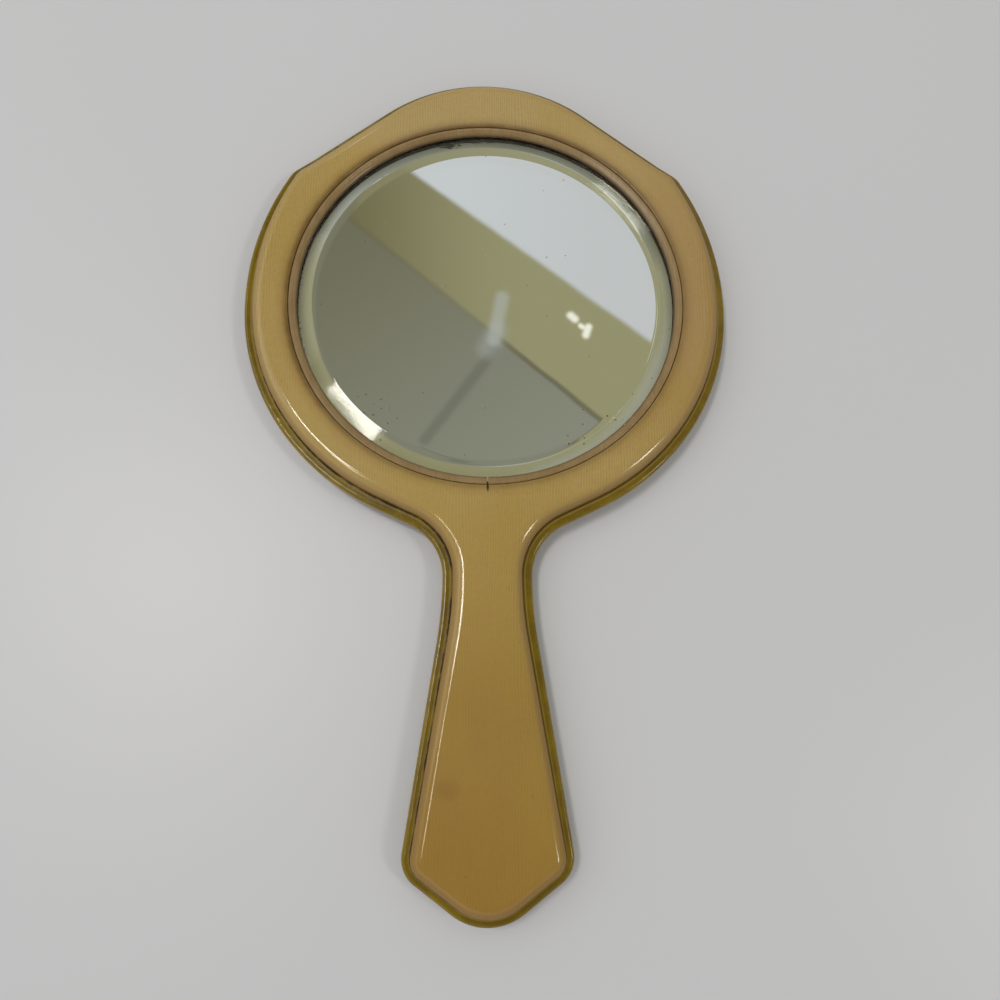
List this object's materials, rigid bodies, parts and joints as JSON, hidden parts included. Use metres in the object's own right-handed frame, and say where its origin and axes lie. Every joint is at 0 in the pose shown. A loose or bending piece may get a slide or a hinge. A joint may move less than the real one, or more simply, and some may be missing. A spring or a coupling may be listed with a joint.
{
  "type": "hand mirror",
  "caption": "Round bevelled hand mirror in an ivory and amber frame, with a crowned head and a flat handle that widens to a pointed end.",
  "frame": {"origin": "under the middle of the glass, on the flat face that the mirror rests on", "axes": "+Y towards the crown of the head (the handle points to -Y), +Z out of the glass"},
  "size_m": [0.1482, 0.2557, 0.0108],
  "materials": {
    "ivory": "polished ivory-grained celluloid",
    "amber": "polished translucent amber",
    "bezel": "satin, slightly pink ivory",
    "glass": "polished plate glass with a ground bevel",
    "silver": "silvered, blackened in places near the edge",
    "paint": "matt brown protective paint",
    "cushion": "thin soft felt",
    "card": "raw strawboard"
  },
  "bodies": {
    "root": {"back_panel": "ivory", "amber_plate": "amber", "front_panel": "ivory", "packing_card": "card", "cushion_disc": "cushion", "backing_paint": "paint", "silvering": "silver", "mirror_glass": "glass", "bezel_ring": "bezel"}
  },
  "joints": []
}
